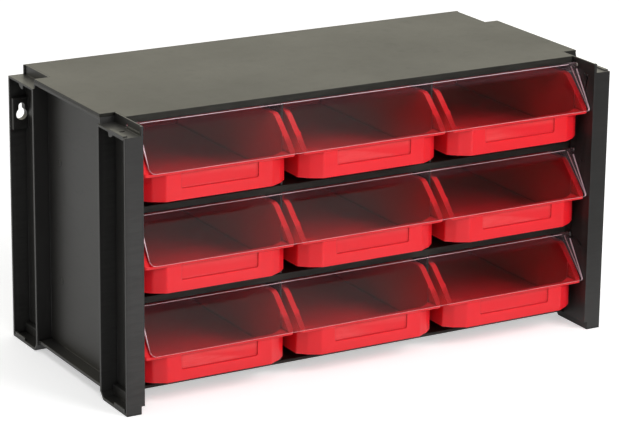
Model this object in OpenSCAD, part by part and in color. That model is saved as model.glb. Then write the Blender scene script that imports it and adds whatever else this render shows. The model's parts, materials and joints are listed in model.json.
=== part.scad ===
// Parts bin cabinet: nine open-topped bins in three rows of three.
// Each row is closed by one clear flap hinged in the two side frames.
// Lengths are in millimetres, +Z is up and the front faces -Y.
// The origin is the centre of the footprint, on the floor.

/* [Cabinet] */
// Overall width, over both side frames
cabinet_w = 375; // [340:1:420]
// Overall depth
cabinet_d = 180; // [160:1:220]
// Distance from one row's floor to the next
row_pitch = 62.1; // [60:0.1:70]
// Clear height under the bottom panel
base_clear = 6.5; // [5:0.1:12]
// Thickness of the panels and shelves
panel_t = 2.2; // [1.8:0.1:3]
// Front edge of the panels, behind the front face
panel_setback = 26; // [24:0.5:32]
// Height of the strip along each panel's front edge
strip_h = 4.8; // [3:0.1:6]
// Thickness of that strip
strip_t = 2; // [1.5:0.1:3]
// Thickness of the back panel
back_t = 2; // [1.5:0.1:3]
// Back panel's rear face, in from the rear of the frames
back_inset = 0.5; // [0:0.1:2]

/* [Side frames] */
// Width of each side frame
column_w = 13.2; // [12:0.1:16]
// Depth of the front and rear columns
column_d = 40.6; // [30:0.1:45]
// Thickness of the flange between each column and the side wall
flange_t = 2.4; // [1.6:0.1:3]
// Top plate's notch edge, in from that flange's far face
notch_in = 1.1; // [0.5:0.1:2]
// Wall thickness of the side frames
wall_t = 2; // [1.6:0.1:3]
// Wall thickness inside the columns
web_t = 1; // [0.8:0.1:1.6]
// Drop of the column caps below the top
cap_drop = 6.5; // [4:0.1:10]
// Thickness of the caps
cap_t = 1.5; // [1:0.1:2]
// Foot's inner face, in from the side wall's inner face
foot_inset = 2.3; // [1:0.1:4]
// How much each foot narrows towards the floor
foot_taper = 4.9; // [0:0.1:6]
// Height over which it narrows
foot_taper_h = 5.3; // [4:0.1:9]
// Outer edge of the top and side flanges, in from the side
flange_inset = 1.5; // [0:0.1:3]
// Centre of the wall keyholes, in from the side
keyhole_x = 7.4; // [7:0.1:7.6]
// Height of the keyhole's head hole
keyhole_z = 161.5; // [140:0.5:165]
// Diameter of the keyhole's head hole
keyhole_head_d = 8; // [7:0.1:8.5]
// Width of the keyhole's neck
keyhole_neck_w = 4.5; // [3.5:0.1:5]
// Top of the keyhole's neck, above the head's centre
keyhole_rise = 8; // [6:0.5:10]
// Extra thickness of the pad round the keyhole
keyhole_pad = 3.2; // [0:0.1:3]

/* [Dividers] */
// Thickness of the dividers
divider_t = 1.6; // [1.2:0.1:2.4]
// Front edge of the dividers, behind the panel's front edge
divider_setback = 0.8; // [0.6:0.1:3]
// Length of each locating tab
tab_l = 12; // [8:1:20]
// Height of each locating tab
tab_h = 1.4; // [1:0.1:1.8]
// Clearance round each tab
tab_gap = 0.1; // [0.05:0.05:0.2]

/* [Bins] */
// Height of the guide ribs that carry the bins
rib_h = 8; // [2:0.5:10]
// Distance of each guide rib from the bin's centre
rib_x = 36; // [25:1:45]
// Front face of the bins, behind the front face
bin_front = 4.1; // [3.5:0.1:12]
// Gap between a bin's back and the back panel
bin_back_gap = 9.5; // [4:0.5:20]
// Gap between a bin's rim and the divider beside it
bin_side_gap = 1.67; // [1:0.01:5]
// Gap over the bins, up to the shelf above
bin_top_gap = 9.4; // [5:0.1:15]
// Height of the front lip above the bin's base
lip_h = 20.2; // [18:0.1:25]
// How far the front lip stands out from the front face
lip_out = 0.5; // [0.3:0.1:3]
// Radius of the lip's two corners
lip_corner_r = 2.5; // [1:0.1:5]
// Distances from the front face to the three bends in the sides' top edge
slope_y = [7.8, 21.1, 24.4]; // [4:0.1:30]
// Heights of the first two bends, as parts of the rise from lip to rim
slope_up = [0.39, 0.93]; // [0.2:0.01:0.95]
// Sideways length of the front corners, outer and inner part
corner_side = [6, 8.3]; // [2:0.1:12]
// Depth of the front corners, outer and inner part
corner_deep = [5.5, 4.5]; // [3:0.1:8]
// How far the rim stands out from the sides
rim_out = 2.6; // [0.5:0.1:3]
// Height of the rim
rim_h = 2; // [1:0.1:4]
// Wall thickness of the bins
bin_wall = 1.5; // [1.2:0.1:2.5]
// Thickness of the front wall
front_wall = 2.4; // [1.8:0.1:3]
// Width of the label recess
label_w = 57; // [40:1:70]
// Lower edge of the label recess, above the bin's base
label_z = 7.8; // [4:0.1:12]
// Depth of the label recess
label_deep = 1; // [0.5:0.1:1.4]
// Radius of its lower corners
label_r = 1.5; // [1:0.5:4]

/* [Flaps] */
// Hinge axis, in front of the panels' front edge
hinge_front = 4.2; // [3:0.1:6]
// Hinge axis, below the lower edge of the strip above
hinge_below = 0.1; // [0:0.1:3]
// Radius of the hinge bead
bead_r = 1.4; // [1.2:0.1:1.4]
// Radius of the hinge pins
pin_r = 1.3; // [1:0.05:1.35]
// Radial clearance of the pins in their bores
pin_clear = 0.05; // [0.02:0.01:0.1]
// Gap between the closed film and the bins' front lip
flap_gap = 0.35; // [0.3:0.05:1]
// Length of the film past the bins' front lip
flap_over = 0.6; // [0.3:0.1:4]
// Middle of the film, behind the hinge axis
film_back = 1; // [0.8:0.1:1.3]
// Film's left edge, in from the left end of the hinge bead
film_in = 5.5; // [0:0.1:8]
// Thickness of the clear film
film_t = 1; // [0.8:0.1:1.2]
// Thickness of the right end's cheek
cheek_t = 1; // [0.8:0.1:1.2]
// Gap between each end of the bead and the side frame
cheek_gap = 0.5; // [0.4:0.1:1]
// Depth of the cheek, at the hinge
cheek_deep = 6; // [4:0.1:8]
// Length of the block at each end of the bead
block_w = 7; // [4:0.5:10]
// How far the pins stand out of the side frames' webs
pin_out = 0.5; // [0:0.1:1]
// Radii of the film's lower corners, left and right
flap_corner_r = [4.5, 2]; // [1:0.5:8]

/* [Part] */
// Sub-part to draw

/* [Hidden] */
$fn = 48;
cabinet_h = base_clear + panel_t + 3 * row_pitch;
cap_z = cabinet_h - cap_drop;
wall_x = column_w - wall_t;
web_x = column_w - web_t;
notch_y = column_d - notch_in;
foot_x = column_w - foot_inset;
wall_bottom = base_clear - 1;
inside_w = cabinet_w - 2 * column_w;
cell_w = (inside_w - 2 * divider_t) / 3;
mark_y = cabinet_d - column_d - 17.4;
back_y = cabinet_d - back_inset - back_t;
bin_len = back_y - bin_back_gap - bin_front;
bin_h = row_pitch - panel_t - rib_h - bin_top_gap;
label_h = lip_h - rim_h - label_z;
bin_half = cell_w / 2 - bin_side_gap - rim_out;
front_half = bin_half - corner_side[0] - corner_side[1];
corner_y = corner_deep[0] + corner_deep[1];
flap_w = inside_w - 2 * cheek_gap;
hinge_y = panel_setback - hinge_front;
hinge_h = row_pitch - strip_h - hinge_below;
lip_dy = hinge_y - bin_front + lip_out;
lip_dz = hinge_h - rib_h - lip_h;
lip_far = norm([lip_dy, lip_dz]);
flap_angle = atan2(lip_dz, lip_dy) - asin((film_back + film_t / 2 + flap_gap) / lip_far);
flap_len = lip_far + flap_over;
tab_low_y = [56, 128];
tab_high_y = [78, 104];
frame_black = [0.10, 0.10, 0.10];
panel_grey = [0.30, 0.29, 0.27];
bin_red = [0.80, 0.03, 0.06];
flap_clear = [0.95, 0.90, 0.90, 0.35];

// Floor height of a row, counted from the top
function floor_z(r) = base_clear + panel_t + (3 - r) * row_pitch;
// Centre of a column of bins, counted from the left
function cell_x(c) = column_w + cell_w / 2 + (c - 1) * (cell_w + divider_t);
// Left face of a divider
function divider_x(side) = column_w + cell_w + (side == "left" ? 0 : cell_w + divider_t);
function unit(v) = v / norm(v);
function turned(v) = [-v[1], v[0]];
// The outline p moved inwards by d; its points run anticlockwise
function inset(p, d) = [
    for (k = [0 : len(p) - 1])
        let (a = p[(k + len(p) - 1) % len(p)])
        let (c = p[(k + 1) % len(p)])
        let (n1 = turned(unit(p[k] - a)))
        let (n2 = turned(unit(c - p[k])))
        p[k] + (n1 + n2) / (1 + n1 * n2) * d
];
// Plan of a bin from its front face, points running anticlockwise
function bin_plan() = [
    [-front_half, 0],
    [front_half, 0],
    [bin_half - corner_side[0], corner_deep[1]],
    [bin_half, corner_y],
    [bin_half, bin_len],
    [-bin_half, bin_len],
    [-bin_half, corner_y],
    [-bin_half + corner_side[0], corner_deep[1]]
];
// Top edge of a bin's sides in depth and height, lowered by d
function bin_edge(d) = [
    [-lip_out, lip_h - d],
    [slope_y[0], lip_h + slope_up[0] * (bin_h - lip_h) - d],
    [slope_y[1], lip_h + slope_up[1] * (bin_h - lip_h) - d],
    [slope_y[2], bin_h - d]
];
// Height of that edge at a depth on its second part
function edge_up(y) =
    let (a = bin_edge(0)[1])
    let (b = bin_edge(0)[2])
    a[1] + (b[1] - a[1]) * (y - a[0]) / (b[0] - a[0]);
// A point beside the hinge axis, in depth and height, in the flap's own frame
function on_flap(p) = [
    -p[0] * cos(flap_angle) - p[1] * sin(flap_angle),
    p[0] * sin(flap_angle) - p[1] * cos(flap_angle)
];

// Moves from the cabinet's left front corner to the centre of its footprint
module place() {
    translate([-cabinet_w / 2, -cabinet_d / 2, 0]) children();
}

// Profile in depth and height, drawn out along X
module along_x(x, length, points) {
    translate([x, 0, 0])
        rotate([90, 0, 90])
            linear_extrude(height = length) polygon(points);
}

// Front column of the left side frame, with its foot and cap; the rear one has a plain cap
module column(front) {
    // Front flange, and the edge over it
    translate([0, 0, wall_bottom]) cube([column_w, wall_t, cap_z - wall_bottom]);
    translate([wall_x, 0, cap_z - 1]) cube([wall_t, wall_t, cap_drop + 1]);
    cube([foot_x, wall_t, wall_bottom + 1]);
    // Inner flange, leaning in at the foot and reaching the top plate
    translate([0, column_d - flange_t, foot_taper_h])
        cube([column_w, flange_t, cap_z - foot_taper_h]);
    along_x(0, foot_x, [
        [column_d - foot_taper - flange_t, 0],
        [column_d - foot_taper, 0],
        [column_d, foot_taper_h],
        [column_d - flange_t, foot_taper_h]
    ]);
    along_x(flange_inset, wall_x, [
        [column_d - flange_t, cap_z - 1],
        [column_d, cap_z - 1],
        [column_d, cabinet_h - panel_t],
        [notch_y, cabinet_h - panel_t],
        [column_d - flange_t, cap_z]
    ]);
    // Foot web, stepped outwards from the wall
    along_x(foot_x - wall_t, wall_t, [
        [0, 0],
        [column_d - foot_taper, 0],
        [column_d, foot_taper_h],
        [column_d, 9],
        [0, 9]
    ]);
    along_x(foot_x - wall_t, column_w - foot_x + wall_t, [
        [0, wall_bottom],
        [column_d - foot_taper * max(0.02, 1 - wall_bottom / foot_taper_h), wall_bottom],
        [column_d, max(foot_taper_h, wall_bottom + 0.2)],
        [column_d, 9],
        [0, 9]
    ]);
    // Foot plate, with the tongue along its outer edge
    cube([foot_x, column_d - foot_taper, wall_t]);
    translate([0, 3.5, 0]) cube([1.5, 15.8, wall_t + 2]);
    // Cap, with its hanging nib
    difference() {
        translate([0, 0, cap_z - cap_t]) cube([column_w, column_d, cap_t]);
        if (front) translate([4.2, 15, cap_z - cap_t - 1]) cube([4, 2, cap_t + 2]);
    }
    along_x(0, 1.2, [
        [17, cap_z - 1],
        [18.5, cap_z - 3],
        [21.5, cap_z - 4.4],
        [23.5, cap_z - 4.4],
        [24.5, cap_z - 1]
    ]);
    // Raised bar along the front cap's outer edge, and the ledge over it
    if (front) {
        translate([0, 2.5, cap_z - cap_t - 0.6]) cube([3, 20, cap_t + 1.4]);
        translate([web_x - 1, 1, cap_z - 1]) cube([1.5, 19, 2.9]);
    }
}

// Left side frame; the right one is its mirror image
module side_frame() {
    difference() {
        union() {
            // Side wall, and the thinner webs that stand above the caps
            translate([wall_x, column_d - 1, wall_bottom])
                cube([wall_t, cabinet_d - 2 * column_d + 2, cabinet_h - panel_t - wall_bottom]);
            translate([web_x, 0, wall_bottom])
                cube([web_t, cabinet_d, cabinet_h - panel_t - wall_bottom]);
            for (y = [0, cabinet_d - notch_y])
                translate([web_x, y, cap_z]) cube([web_t, notch_y, cap_drop]);
            column(true);
            translate([0, cabinet_d, 0]) mirror([0, 1, 0]) column(false);
            // Flanges between the columns
            translate([flange_inset, column_d - 1, base_clear])
                cube([wall_x, cabinet_d - 2 * column_d + 2, panel_t]);
            translate([flange_inset, column_d - 1, cabinet_h - panel_t - wall_t])
                cube([wall_x, cabinet_d - 2 * column_d + 2, wall_t]);
            // Pad round the keyhole
            translate([1, cabinet_d - wall_t - keyhole_pad, keyhole_z - 10.5])
                cube([wall_x + 0.5, keyhole_pad + 1, 22]);
            // Ledges under the shelves and the bottom panel
            for (r = [1, 2])
                translate([column_w - 0.5, panel_setback + 14, floor_z(r) - panel_t - 1.2])
                    cube([2, back_y - panel_setback - 21.5, 1.2]);
            translate([column_w - 0.5, panel_setback, wall_bottom])
                cube([2, back_y - panel_setback - 6.5, base_clear - wall_bottom]);
            // Small nubs beside each flap's path
            for (r = [1 : 3])
                for (y = [8.4, 11.7])
                    translate([web_x + 0.2, y, floor_z(r) + 52.1])
                        rotate([0, 90, 0]) cylinder(r = 0.8, h = web_t + 0.1);
            // Round moulding marks on the outer face
            for (z = [56, 140])
                translate([wall_x - 0.3, mark_y, z])
                    rotate([0, 90, 0]) cylinder(r = 2.6, h = 1);
        }
        // Bores for the flap pins
        for (r = [1 : 3])
            translate([web_x - 0.5, hinge_y, floor_z(r) + hinge_h])
                rotate([0, 90, 0]) cylinder(r = pin_r + pin_clear, h = web_t + 1);
        // Pockets for the shelf tabs
        for (r = [1 : 3])
            for (y = tab_low_y)
                translate([column_w - 1, y - tab_l / 2 - tab_gap, floor_z(r) - panel_t])
                    cube([2, tab_l + 2 * tab_gap, panel_t]);
        // Keyhole in the rear flange
        translate([keyhole_x, cabinet_d + 1, keyhole_z])
            rotate([90, 0, 0]) cylinder(d = keyhole_head_d, h = wall_t + keyhole_pad + 2);
        translate([keyhole_x, cabinet_d + 1, keyhole_z + keyhole_rise - keyhole_neck_w / 2])
            rotate([90, 0, 0]) cylinder(d = keyhole_neck_w, h = wall_t + keyhole_pad + 2);
        translate([keyhole_x - keyhole_neck_w / 2, cabinet_d - wall_t - keyhole_pad - 1, keyhole_z])
            cube([keyhole_neck_w, wall_t + keyhole_pad + 2, keyhole_rise - keyhole_neck_w / 2]);
        // Middles of the moulding marks
        for (z = [56, 140])
            translate([wall_x - 1, mark_y, z])
                rotate([0, 90, 0]) cylinder(r = 1.9, h = 1);
    }
}

module side_frame_left() {
    color(frame_black) place() side_frame();
}

module side_frame_right() {
    color(frame_black) mirror([1, 0, 0]) place() side_frame();
}

// Slots for the divider tabs, cut from the height z over the given positions
module divider_slots(z, ys) {
    for (side = ["left", "right"])
        for (y = ys)
            translate([divider_x(side) - tab_gap, y - tab_l / 2 - tab_gap, z])
                cube([divider_t + 2 * tab_gap, tab_l + 2 * tab_gap, tab_h + tab_gap]);
}

// Guide ribs under one row of bins, each with a stop at its rear end
module guide_ribs(r) {
    for (c = [1 : 3])
        for (s = [-1, 1])
            translate([cell_x(c) + s * rib_x - 1, 0, floor_z(r) - 1]) {
                translate([0, panel_setback + 4, 0])
                    cube([2, bin_front + bin_len + 3 - panel_setback - 4, rib_h + 1]);
                translate([0, bin_front + bin_len + 0.5, 0]) cube([2, 2.5, rib_h + 7]);
            }
}

// Plate between the side frames, with its end tabs and guide ribs
module shelf_plate(r) {
    translate([column_w, panel_setback, floor_z(r) - panel_t])
        cube([inside_w, back_y - panel_setback, panel_t]);
    for (y = tab_low_y)
        translate([column_w - 0.9, y - tab_l / 2, floor_z(r) - panel_t])
            cube([inside_w + 1.8, tab_l, panel_t - 0.3]);
    guide_ribs(r);
}

module shelf(r) {
    color(panel_grey) place() difference() {
        union() {
            shelf_plate(r);
            translate([column_w, panel_setback, floor_z(r) - strip_h])
                cube([inside_w, strip_t, strip_h]);
        }
        divider_slots(floor_z(r) - tab_h - tab_gap + 0.001, tab_low_y);
        divider_slots(floor_z(r) - panel_t - 0.001, tab_high_y);
    }
}

module shelf_upper() {
    shelf(1);
}

module shelf_lower() {
    shelf(2);
}

module bottom_panel() {
    color(panel_grey) place() difference() {
        shelf_plate(3);
        divider_slots(floor_z(3) - tab_h - tab_gap + 0.001, tab_low_y);
    }
}

module top_panel() {
    color(panel_grey) place() difference() {
        union() {
            translate([column_w, panel_setback, cabinet_h - panel_t])
                cube([inside_w, cabinet_d - panel_setback, panel_t]);
            translate([flange_inset, notch_y, cabinet_h - panel_t])
                cube([cabinet_w - 2 * flange_inset, cabinet_d - 2 * notch_y, panel_t]);
            translate([column_w, panel_setback, cabinet_h - strip_h])
                cube([inside_w, strip_t, strip_h]);
        }
        divider_slots(cabinet_h - panel_t - 0.001, tab_high_y);
    }
}

module back_panel() {
    color(frame_black) place()
        translate([column_w, back_y, base_clear])
            cube([inside_w, back_t, cabinet_h - panel_t - base_clear]);
}

module divider(r, side) {
    gap_h = row_pitch - panel_t;
    front = panel_setback + divider_setback;
    color(frame_black) place() translate([divider_x(side), 0, floor_z(r)]) {
        difference() {
            translate([0, front, 0]) cube([divider_t, back_y - front, gap_h]);
            translate([-1, front - 1, row_pitch - strip_h])
                cube([divider_t + 2, panel_setback + strip_t - front + 1, strip_h]);
        }
        for (y = tab_low_y)
            translate([0, y - tab_l / 2, -tab_h]) cube([divider_t, tab_l, tab_h + 1]);
        for (y = tab_high_y)
            translate([0, y - tab_l / 2, gap_h - 1]) cube([divider_t, tab_l, tab_h + 1]);
    }
}

// One bin, drawn from the middle of its front face at its base
module bin_body() {
    rim_half = bin_half + rim_out;
    lip_y = lip_corner_r - lip_out;
    difference() {
        union() {
            // Body, with the label recess reaching up to the lip
            difference() {
                linear_extrude(height = bin_h) polygon(bin_plan());
                translate([-label_w / 2, -1, label_z + label_r])
                    cube([label_w, 1 + label_deep, label_h - label_r]);
                translate([-label_w / 2 + label_r, -1, label_z])
                    cube([label_w - 2 * label_r, 1 + label_deep, label_h]);
                for (s = [-1, 1])
                    translate([s * (label_w / 2 - label_r), label_deep, label_z + label_r])
                        rotate([90, 0, 0]) cylinder(r = label_r, h = 1 + label_deep);
            }
            // Rim all round, with the lip's rounded corners
            intersection() {
                union() {
                    translate([-rim_half, lip_y, 0])
                        cube([2 * rim_half, bin_len + rim_out - lip_y, bin_h]);
                    translate([-rim_half + lip_corner_r, -lip_out, 0])
                        cube([2 * (rim_half - lip_corner_r), bin_len, bin_h]);
                    for (s = [-1, 1])
                        translate([s * (rim_half - lip_corner_r), lip_y, 0])
                            cylinder(r = lip_corner_r, h = bin_h);
                }
                union() {
                    along_x(-rim_half - 1, 2 * rim_half + 2, concat(
                        [for (p = bin_edge(rim_h)) p],
                        [[bin_len + 5, bin_h - rim_h], [bin_len + 5, bin_h]],
                        [for (k = [3 : -1 : 0]) bin_edge(0)[k]]
                    ));
                    // Ledge over the faceted corners
                    along_x(-rim_half - 1, 2 * rim_half + 2, [
                        [-lip_out, lip_h - rim_h],
                        [corner_y, lip_h - rim_h],
                        [corner_y, edge_up(corner_y)],
                        bin_edge(0)[1],
                        bin_edge(0)[0]
                    ]);
                }
            }
        }
        // Space above the lip and the sloping sides
        along_x(-rim_half - 1, 2 * rim_half + 2, concat(
            [[-lip_out - 2, lip_h - 2]],
            bin_edge(0),
            [[slope_y[2], bin_h + 3], [-lip_out - 2, bin_h + 3]]
        ));
        // Level lip between the side rims
        translate([-bin_half + bin_wall, -lip_out - 1, lip_h])
            cube([2 * (bin_half - bin_wall), lip_out + 1 + corner_y, bin_h]);
        // Inside
        difference() {
            translate([0, 0, bin_wall])
                linear_extrude(height = bin_h) polygon(inset(bin_plan(), bin_wall));
            translate([-bin_half, 0, 0]) cube([2 * bin_half, front_wall, bin_h]);
        }
    }
}

module bin(r, c) {
    color(bin_red) place() translate([cell_x(c), bin_front, floor_z(r) + rib_h]) bin_body();
}

// One flap, drawn from its hinge axis with the film running along +Y
module flap_body() {
    r = flap_corner_r;
    low = flap_len - r[1];
    left = -flap_w / 2 + film_in;
    film_w = flap_w - film_in;
    // Film, with rounded lower corners
    translate([left, 0, film_back - film_t / 2]) {
        cube([film_w, flap_len - max(r), film_t]);
        translate([r[0], 0, 0]) cube([film_w - r[0] - r[1], flap_len, film_t]);
        translate([film_w - r[1], 0, 0]) cube([r[1], low, film_t]);
        translate([r[0], flap_len - r[0], 0]) cylinder(r = r[0], h = film_t);
        translate([film_w - r[1], low, 0]) cylinder(r = r[1], h = film_t);
    }
    // Band between the bead and the film
    translate([left, 0, 0]) cube([film_w, 3.2, film_back + film_t / 2 + 0.3]);
    // Bead and pins
    translate([-flap_w / 2, 0, 0]) rotate([0, 90, 0]) cylinder(r = bead_r, h = flap_w);
    translate([-flap_w / 2 - cheek_gap - web_t - pin_out, 0, 0]) rotate([0, 90, 0])
        cylinder(r = pin_r, h = flap_w + 2 * (cheek_gap + web_t + pin_out));
    // Upright block at each end of the bead
    for (x = [-flap_w / 2, flap_w / 2 - block_w])
        along_x(x, block_w, [
            on_flap([-1.6, 1.3]),
            on_flap([-1.6, -4.6]),
            on_flap([1.6, -4.6]),
            on_flap([1.6, 1.3])
        ]);
    // Cheek at the right end
    along_x(flap_w / 2 - cheek_t, cheek_t, [
        [-1, 0],
        [low + 0.3, film_back - film_t / 2],
        [low + 0.3, film_back + film_t / 2],
        [-1, cheek_deep]
    ]);
}

module flap(r) {
    color(flap_clear) place()
        translate([cabinet_w / 2, hinge_y, floor_z(r) + hinge_h])
            rotate([180 + flap_angle, 0, 0]) flap_body();
}

side_frame_left();
side_frame_right();
top_panel();
shelf_upper();
shelf_lower();
bottom_panel();
back_panel();
for (r = [1 : 3])
    for (side = ["left", "right"])
        divider(r, side);
for (r = [1 : 3])
    for (c = [1 : 3])
        bin(r, c);
for (r = [1 : 3])
    flap(r);
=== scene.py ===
import json
import math
import bpy
import bmesh
from mathutils import Matrix, Vector

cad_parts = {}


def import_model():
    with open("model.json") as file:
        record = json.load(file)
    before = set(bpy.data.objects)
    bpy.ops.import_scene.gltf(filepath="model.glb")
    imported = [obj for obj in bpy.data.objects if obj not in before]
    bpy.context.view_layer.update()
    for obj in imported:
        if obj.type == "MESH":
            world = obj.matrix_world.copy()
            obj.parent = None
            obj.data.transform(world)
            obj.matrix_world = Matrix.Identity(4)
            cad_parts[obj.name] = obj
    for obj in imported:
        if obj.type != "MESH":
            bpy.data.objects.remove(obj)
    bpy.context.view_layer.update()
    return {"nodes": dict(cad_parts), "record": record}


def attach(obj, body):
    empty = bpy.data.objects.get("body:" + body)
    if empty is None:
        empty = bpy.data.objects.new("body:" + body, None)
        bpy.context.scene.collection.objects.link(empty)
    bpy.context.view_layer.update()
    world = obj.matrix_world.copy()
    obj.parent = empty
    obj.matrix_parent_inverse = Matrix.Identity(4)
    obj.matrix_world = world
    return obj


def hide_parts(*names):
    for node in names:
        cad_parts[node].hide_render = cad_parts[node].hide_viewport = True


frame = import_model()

MM = 0.001
nodes = frame["nodes"]
body_of_node = {n: b for b, ns in frame["record"]["behaviour"]["bodies"].items() for n in ns}
scene = bpy.context.scene
scene.view_settings.view_transform = "Standard"


# ---------------------------------------------------------------- camera
CAM_YAW, CAM_PITCH, CAM_ROLL = 0.52332, 0.30155, 0.01164
CAM_PLACE = (-0.9609, -1.6658, 0.68364)
CAM_LENS = 167.15
CAM_SENSOR = 36.0


def camera():
    """A long lens in front of the cabinet, above it and to its left, looking down a little."""
    flat = math.cos(CAM_PITCH)
    fwd = Vector((math.sin(CAM_YAW) * flat, math.cos(CAM_YAW) * flat, -math.sin(CAM_PITCH)))
    side = Vector((math.cos(CAM_YAW), -math.sin(CAM_YAW), 0.0))
    up = side.cross(fwd)
    right = side * math.cos(CAM_ROLL) + up * math.sin(CAM_ROLL)
    top = -side * math.sin(CAM_ROLL) + up * math.cos(CAM_ROLL)
    m = Matrix.Identity(4)
    for i in range(3):
        m[i][0], m[i][1], m[i][2], m[i][3] = right[i], top[i], -fwd[i], CAM_PLACE[i]
    data = bpy.data.cameras.new("camera")
    data.sensor_fit = "HORIZONTAL"
    data.sensor_width = CAM_SENSOR
    data.lens = CAM_LENS
    data.clip_end = 50.0
    cam = bpy.data.objects.new("camera", data)
    scene.collection.objects.link(cam)
    cam.matrix_world = m
    bpy.context.scene.camera = cam


camera()


# ---------------------------------------------------------------- materials
# Scales of the noises: about as many waves to a metre
DRIFT_SCALE = 14
SCUFF_SCALE = 60
GRAIN_SCALE = 1500
STREAK_SCALE = 9
DUST_SCALE = 700
CLOUD_SCALE = 40
GRAIN_DEPTH = 0.1 * MM
# Pointiness of an edge where wear starts and where it is full, and the share it then has
WEAR_FROM, WEAR_FULL = 0.515, 0.56
WEAR_SHARE = 0.5
# Painted shade in creases: how far it reaches, and how open a point is at full shade and at none
CREASE_REACH = 2.5 * MM
CREASE_FULL, CREASE_NONE = 0.45, 0.95
CREASE_SHADE, CREASE_SHADE_GLOWING = 0.35, 0.65
# Light that scatters inside the red plastic, most of it red
GLOW_RADIUS = (1.0, 0.06, 0.08)
GLOW_DEPTH = 5 * MM
FILM_IOR = 1.45
FILM_COLOUR = (0.95, 0.93, 0.93, 1)


class Tree:
    """A small helper round one material's node tree."""

    def __init__(self, name):
        self.mat = bpy.data.materials.new(name)
        self.mat.use_nodes = True
        self.nt = self.mat.node_tree
        self.bsdf = self.nt.nodes["Principled BSDF"]
        self.pos = self.add("ShaderNodeTexCoord").outputs["Object"]

    def add(self, kind, **values):
        n = self.nt.nodes.new(kind)
        for k, v in values.items():
            setattr(n, k, v)
        return n

    def link(self, a, b):
        self.nt.links.new(a, b)

    def noise(self, scale, detail=2.0, stretch=(1, 1, 1), rough=0.5):
        m = self.add("ShaderNodeMapping")
        m.inputs["Scale"].default_value = stretch
        self.link(self.pos, m.inputs["Vector"])
        n = self.add("ShaderNodeTexNoise")
        n.inputs["Scale"].default_value = scale
        n.inputs["Detail"].default_value = detail
        n.inputs["Roughness"].default_value = rough
        self.link(m.outputs[0], n.inputs["Vector"])
        return n.outputs["Fac"]

    def span(self, value, a, b, c, d):
        """Maps the range a to b onto c to d."""
        n = self.add("ShaderNodeMapRange")
        n.inputs["From Min"].default_value = a
        n.inputs["From Max"].default_value = b
        n.inputs["To Min"].default_value = c
        n.inputs["To Max"].default_value = d
        self.link(value, n.inputs["Value"])
        return n.outputs[0]

    def mix(self, fac, a, b):
        """Mixes two colours, each a tuple or a socket."""
        n = self.add("ShaderNodeMix", data_type="RGBA")
        for socket, colour in (("A", a), ("B", b)):
            if isinstance(colour, tuple):
                n.inputs[socket].default_value = (*colour, 1)
            else:
                self.link(colour, n.inputs[socket])
        self.link(fac, n.inputs["Factor"])
        return n.outputs["Result"]

    def math(self, op, a, b=0.0):
        n = self.add("ShaderNodeMath", operation=op)
        for i, v in enumerate((a, b)):
            if isinstance(v, (int, float)):
                n.inputs[i].default_value = v
            else:
                self.link(v, n.inputs[i])
        return n.outputs[0]


def moulded(name, dark, light, rough, grain, wear, spec=0.5, glow=0.0):
    """Moulded plastic: fine grain, slow colour drift, rubbed edges, faint scuffs, and painted shade in
    creases.
    """
    t = Tree(name)
    drift = t.noise(DRIFT_SCALE, 3)
    fine = t.noise(GRAIN_SCALE, 2, rough=0.6)
    scuff = t.noise(SCUFF_SCALE, 4, stretch=(1, 1, 7), rough=0.7)

    edge = t.add("ShaderNodeNewGeometry").outputs["Pointiness"]
    worn = t.math("MULTIPLY", t.span(edge, WEAR_FROM, WEAR_FULL, 0.0, 1.0),
                  t.span(scuff, 0.35, 0.65, 0.3, 1.0))
    base = t.mix(t.span(drift, 0.35, 0.65, 0.0, 1.0), dark, light)
    base = t.mix(t.math("MULTIPLY", worn, WEAR_SHARE), base, wear)

    # Painted shade: the colour darkens towards a deep shade where the ambient occlusion node finds
    # other surfaces close by, in creases, recesses and between parts
    near = t.add("ShaderNodeAmbientOcclusion", samples=8)
    near.inputs["Distance"].default_value = CREASE_REACH
    shade = CREASE_SHADE_GLOWING if glow else CREASE_SHADE
    painted_crease_colour = tuple(shade * c for c in dark)
    open_part = t.span(near.outputs["AO"], CREASE_FULL, CREASE_NONE, 0.0, 1.0)
    t.link(t.mix(open_part, painted_crease_colour, base), t.bsdf.inputs["Base Color"])

    if glow:
        t.bsdf.inputs["Subsurface Weight"].default_value = glow
        t.bsdf.inputs["Subsurface Radius"].default_value = GLOW_RADIUS
        t.bsdf.inputs["Subsurface Scale"].default_value = GLOW_DEPTH

    r = t.math("ADD", t.span(drift, 0.3, 0.7, rough - 0.03, rough + 0.03),
               t.span(scuff, 0.55, 0.75, 0.0, 0.06))
    t.link(r, t.bsdf.inputs["Roughness"])
    bump = t.add("ShaderNodeBump")
    bump.inputs["Strength"].default_value = grain
    bump.inputs["Distance"].default_value = GRAIN_DEPTH
    t.link(fine, bump.inputs["Height"])
    t.link(bump.outputs[0], t.bsdf.inputs["Normal"])
    t.bsdf.inputs["Specular IOR Level"].default_value = spec
    return t.mat


def film(name):
    """Clear film: reflects like plastic at each face, lets the rest through, with faint streaks."""
    t = Tree(name)
    streak = t.noise(STREAK_SCALE, 3, stretch=(1, 6, 6), rough=0.55)
    dust = t.noise(DUST_SCALE, 2)
    t.bsdf.inputs["Base Color"].default_value = FILM_COLOUR
    t.bsdf.inputs["Metallic"].default_value = 1.0
    t.link(t.span(streak, 0.3, 0.7, 0.10, 0.16), t.bsdf.inputs["Roughness"])
    f = t.add("ShaderNodeFresnel")
    f.inputs["IOR"].default_value = FILM_IOR
    a = t.math("ADD", f.outputs[0], t.span(dust, 0.55, 0.8, 0.0, 0.05))
    t.link(a, t.bsdf.inputs["Alpha"])
    return t.mat


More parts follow.
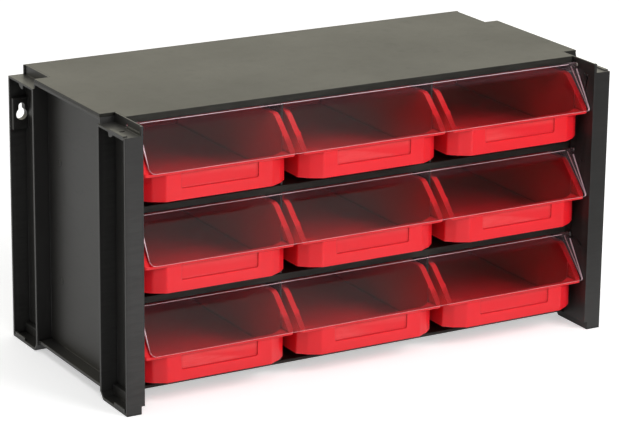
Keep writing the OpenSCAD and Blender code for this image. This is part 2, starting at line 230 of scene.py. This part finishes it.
def thick(name, colour, low, high, rough):
    """Thick clear plastic, also used for painted highlight and painted shade on the flap: its alpha is
    low face on and high at a slant.
    """
    t = Tree(name)
    cloud = t.noise(CLOUD_SCALE, 3, stretch=(1, 4, 4))
    t.link(t.mix(t.span(cloud, 0.3, 0.7, 0.0, 1.0), tuple(0.85 * c for c in colour), colour),
           t.bsdf.inputs["Base Color"])
    t.link(t.span(cloud, 0.3, 0.7, rough, rough + 0.05), t.bsdf.inputs["Roughness"])
    slant = t.add("ShaderNodeLayerWeight")
    slant.inputs["Blend"].default_value = 0.5
    face = t.math("POWER", slant.outputs["Facing"], 3.0)
    t.link(t.span(face, 0.10, 0.75, low, high), t.bsdf.inputs["Alpha"])
    return t.mat


FRAME_PLASTIC = moulded("frame_black", (0.018, 0.0175, 0.0168), (0.022, 0.0213, 0.0204), 0.42, 0.25,
                        (0.05, 0.05, 0.048))
PANEL_PLASTIC = moulded("panel_black", (0.013, 0.0125, 0.0105), (0.017, 0.0162, 0.0135), 0.40, 0.25,
                        (0.05, 0.05, 0.045), spec=0.2)
BIN_PLASTIC = moulded("bin_red", (0.76, 0.010, 0.018), (0.80, 0.012, 0.022), 0.36, 0.12,
                      (0.86, 0.10, 0.10), glow=0.5)
FLAP_FILM = film("flap_film")
# Clear plastic on the flap's small faces, at its edges, cheeks and hinge blocks: denser at a slant as
# thick plastic is, and partly painted highlight, a pale pink that stands in for the light these edges
# refract
FLAP_EDGE = thick("flap_edge", (0.80, 0.60, 0.65), 0.04, 0.60, 0.15)
# Painted highlight: a bright, nearly opaque pink on the bead facets that face the key lamp's glint and
# on the film's thin outer edges
FLAP_HIGHLIGHT = thick("flap_painted_highlight", (0.95, 0.68, 0.74), 0.75, 0.95, 0.25)
# A darker, clearer copy of the edge plastic: on the bead it is painted shade beside the painted
# highlight, and on the long faces of the hinge band it is simply darker and clearer
FLAP_BAND = thick("flap_band", (0.50, 0.32, 0.36), 0.03, 0.20, 0.15)


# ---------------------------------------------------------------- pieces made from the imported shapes
# Widths of the rounded edges
FRAME_EDGE_W = 0.3 * MM
BIN_CORNER_W = 1.2 * MM
FLAP_EDGE_W = 0.15 * MM
BIN_SMALL_SHARE = 0.25
BIN_CORNER_TALL = 12 * MM
# The flap's places in its material list, and what sets its faces apart
FILM, EDGE, HIGHLIGHT, BAND = range(4)
FILM_FACE = 3000 * MM * MM
BEAD_R = 1.5 * MM
# Thin faces away from the hinge, along the film's outer edge, get the painted highlight
HIGHLIGHT_W = 1.1 * MM
HIGHLIGHT_OFF = 6 * MM
BAND_LONG = 100 * MM
# Bead facets that face this way, up and to the front, get the painted highlight of the glint
GLINT_ANGLE = math.radians(37)
GLINT_MATCH = 0.985


def welded(node):
    """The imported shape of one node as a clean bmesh, with its flat faces joined up."""
    bm = bmesh.new()
    bm.from_mesh(nodes[node].data)
    bmesh.ops.remove_doubles(bm, verts=bm.verts, dist=2e-6)
    bmesh.ops.dissolve_limit(bm, angle_limit=math.radians(0.5), verts=bm.verts, edges=bm.edges)
    bmesh.ops.connect_verts_concave(bm, faces=bm.faces)
    return bm


def soften(bm, weigh):
    """Gives each bent edge its bevel weight: weigh returns a part of the full width."""
    layer = bm.edges.layers.float.new("bevel_weight_edge")
    for e in bm.edges:
        if len(e.link_faces) == 2:
            bend = math.degrees(e.calc_face_angle(0.0))
            e[layer] = weigh(e, bend) if bend > 8 else 0.0


def sharp(e, bend):
    return 1.0 if bend > 30 else 0.0


def bin_edge(e, bend):
    """The blunt upright corners get the full width, and the other edges a small part of it."""
    along = (e.verts[1].co - e.verts[0].co).normalized()
    if abs(along.z) > 0.95 and e.calc_length() > BIN_CORNER_TALL and bend < 80:
        return 1.0
    return BIN_SMALL_SHARE if bend > 25 else 0.0


def piece(bm, node, mats, width):
    """Turns bm into a piece that stands for the node and rides on its body."""
    name = node + "_body"
    me = bpy.data.meshes.new(name)
    for f in bm.faces:
        f.smooth = True
    bm.to_mesh(me)
    bm.free()
    for m in mats:
        me.materials.append(m)
    o = bpy.data.objects.new(name, me)
    scene.collection.objects.link(o)
    v = o.modifiers.new("edges", "BEVEL")
    v.limit_method = "WEIGHT"
    v.width = width
    v.segments = 3
    v.use_clamp_overlap = False
    v.face_strength_mode = "FSTR_ALL"
    w = o.modifiers.new("normals", "WEIGHTED_NORMAL")
    w.keep_sharp = True
    w.use_face_influence = True
    w.weight = 80
    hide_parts(node)
    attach(o, body_of_node[node])


def frame_piece(node, mat):
    bm = welded(node)
    soften(bm, sharp)
    piece(bm, node, [mat], FRAME_EDGE_W)


def bin_piece(node):
    bm = welded(node)
    soften(bm, bin_edge)
    piece(bm, node, [BIN_PLASTIC], BIN_CORNER_W)


def hinge_point(node):
    """A point on the flap's hinge axis: the middle of its right pin's end."""
    me = nodes[node].data
    x1 = max(v.co.x for v in me.vertices)
    end = [v.co for v in me.vertices if v.co.x > x1 - 0.1 * MM]
    return sum(end, Vector()) / len(end)


def flap_face(f, hinge):
    """Which of the flap's materials a face has: its size and its place by the hinge tell. Bead facets
    that face the glint and thin faces along the film's edge get the painted highlight, and the bead's
    other facets get painted shade.
    """
    glint = Vector((0, -math.cos(GLINT_ANGLE), math.sin(GLINT_ANGLE)))
    mid = f.calc_center_median() - hinge
    off = math.hypot(mid.y, mid.z)
    if f.calc_area() > FILM_FACE:
        return FILM
    if off < BEAD_R:
        return HIGHLIGHT if f.normal.dot(glint) > GLINT_MATCH else BAND
    long = max(e.calc_length() for e in f.edges)
    if f.calc_area() / long < HIGHLIGHT_W and off > HIGHLIGHT_OFF:
        return HIGHLIGHT
    return BAND if long > BAND_LONG else EDGE


def flap_piece(node):
    bm = welded(node)
    soften(bm, sharp)
    hinge = hinge_point(node)
    for f in bm.faces:
        f.material_index = flap_face(f, hinge)
    piece(bm, node, [FLAP_FILM, FLAP_EDGE, FLAP_HIGHLIGHT, FLAP_BAND], FLAP_EDGE_W)


for n in list(nodes):
    if n.startswith("bin_"):
        bin_piece(n)
    elif n.startswith("flap_"):
        flap_piece(n)
    elif n in ("top_panel", "bottom_panel") or "shelf" in n:
        frame_piece(n, PANEL_PLASTIC)
    else:
        frame_piece(n, FRAME_PLASTIC)


# ---------------------------------------------------------------- floor, world and lights
FLOOR_HALF = 6.0
FLOOR_SEEN = 0.5
FLOOR_MIRRORED = 0.25
FLOOR_PALE = (0.8, 0.8, 0.8)
FLOOR_DIM = (0.08, 0.08, 0.08)
# In reflections the floor in front falls off towards both sides: where that starts and ends
FALL_NEAR, FALL_FAR = 0.08, 0.38
FALL_FRONT = -0.2

SKY_SEEN = 1.05
SKY_LIGHT = 0.24
# What reflections see of the sky: dark in front of the object, bright behind it, and warm
SKY_FRONT, SKY_BACK = -0.35, 0.15
SKY_DARK, SKY_BRIGHT = 0.05, 1.3
SKY_WARM = (1, 0.965, 0.80, 1)

# Name, place, target, width, height, watts, whether reflections show it
LAMPS = (
    ("key", (0.95, -1.8, 1.4), (0, -0.08, 0.1), 1.1, 1.0, 34, False),
    ("fill", (0.3, -2.4, 0.75), (0, 0, 0.1), 1.6, 0.7, 6, True),
    ("veil", (0.58, -1.4, 1.7), (-0.05, -0.08, 0.1), 1.1, 1.1, 1.2, True),
    ("left", (-1.9, -0.7, 0.9), (0, 0, 0.1), 1.0, 1.0, 2, True),
    ("high", (-0.6, -1.3, 1.6), (0, -0.06, 0.1), 0.9, 0.9, 8, False),
    ("top", (-0.1, 0.5, 1.9), (0, 0, 0.1), 1.6, 1.0, 10, True),
)


def area(name, place, target, wide, high, power, mirrored):
    data = bpy.data.lights.new(name, "AREA")
    data.shape = "RECTANGLE"
    data.size = wide
    data.size_y = high
    data.energy = power
    o = bpy.data.objects.new(name, data)
    scene.collection.objects.link(o)
    o.location = place
    o.rotation_euler = (Vector(target) - Vector(place)).to_track_quat("-Z", "Y").to_euler()
    o.visible_glossy = mirrored


def floor():
    """A white floor that shows soft shadows and is dimmer in reflections."""
    me = bpy.data.meshes.new("floor")
    bm = bmesh.new()
    s = FLOOR_HALF
    bm.faces.new([bm.verts.new(p) for p in ((-s, -s, 0), (s, -s, 0), (s, s, 0), (-s, s, 0))])
    bm.to_mesh(me)
    bm.free()
    o = bpy.data.objects.new("floor", me)
    scene.collection.objects.link(o)
    t = Tree("floor_white")
    t.bsdf.inputs["Roughness"].default_value = 0.7
    t.bsdf.inputs["Emission Color"].default_value = (1, 1, 1, 1)
    path = t.add("ShaderNodeLightPath")
    sep = t.add("ShaderNodeSeparateXYZ")
    t.link(t.pos, sep.inputs[0])
    out = t.span(t.math("ABSOLUTE", sep.outputs["X"]), FALL_NEAR, FALL_FAR, 0.0, 1.0)
    fall = t.math("MULTIPLY", out, t.span(sep.outputs["Y"], 0.0, FALL_FRONT, 0.0, 1.0))
    mirrored = t.math("MULTIPLY", path.outputs["Is Glossy Ray"], fall)
    t.link(t.mix(mirrored, FLOOR_PALE, FLOOR_DIM), t.bsdf.inputs["Base Color"])
    seen = t.math("MULTIPLY", path.outputs["Is Camera Ray"], FLOOR_SEEN)
    glow = t.math("MULTIPLY", path.outputs["Is Glossy Ray"], FLOOR_MIRRORED)
    left = t.math("MULTIPLY", glow, t.span(fall, 0.0, 1.0, 1.0, 0.0))
    t.link(t.math("ADD", seen, left), t.bsdf.inputs["Emission Strength"])
    me.materials.append(t.mat)


def world():
    """White to the camera, a sky from dark to bright in reflections, and a weak light elsewhere."""
    w = bpy.data.worlds.new("world")
    scene.world = w
    w.use_nodes = True
    nt = w.node_tree
    bg = nt.nodes["Background"]
    path = nt.nodes.new("ShaderNodeLightPath")

    def pick(kind, ray):
        """A mix that gives B to rays of one sort and A to the others."""
        n = nt.nodes.new("ShaderNodeMix")
        n.data_type = kind
        nt.links.new(path.outputs[ray], n.inputs["Factor"])
        return n

    tc = nt.nodes.new("ShaderNodeTexCoord")
    sep = nt.nodes.new("ShaderNodeSeparateXYZ")
    nt.links.new(tc.outputs["Generated"], sep.inputs[0])
    sky = nt.nodes.new("ShaderNodeMapRange")
    sky.inputs["From Min"].default_value = SKY_FRONT
    sky.inputs["From Max"].default_value = SKY_BACK
    sky.inputs["To Min"].default_value = SKY_DARK
    sky.inputs["To Max"].default_value = SKY_BRIGHT
    nt.links.new(sep.outputs["Y"], sky.inputs["Value"])

    glossy = pick("FLOAT", "Is Glossy Ray")
    glossy.inputs["A"].default_value = SKY_LIGHT
    nt.links.new(sky.outputs[0], glossy.inputs["B"])
    seen = pick("FLOAT", "Is Camera Ray")
    seen.inputs["B"].default_value = SKY_SEEN
    nt.links.new(glossy.outputs["Result"], seen.inputs["A"])
    nt.links.new(seen.outputs["Result"], bg.inputs["Strength"])

    warm = pick("RGBA", "Is Glossy Ray")
    warm.inputs["A"].default_value = (1, 1, 1, 1)
    warm.inputs["B"].default_value = SKY_WARM
    nt.links.new(warm.outputs["Result"], bg.inputs["Color"])


floor()
world()
for lamp in LAMPS:
    area(*lamp)
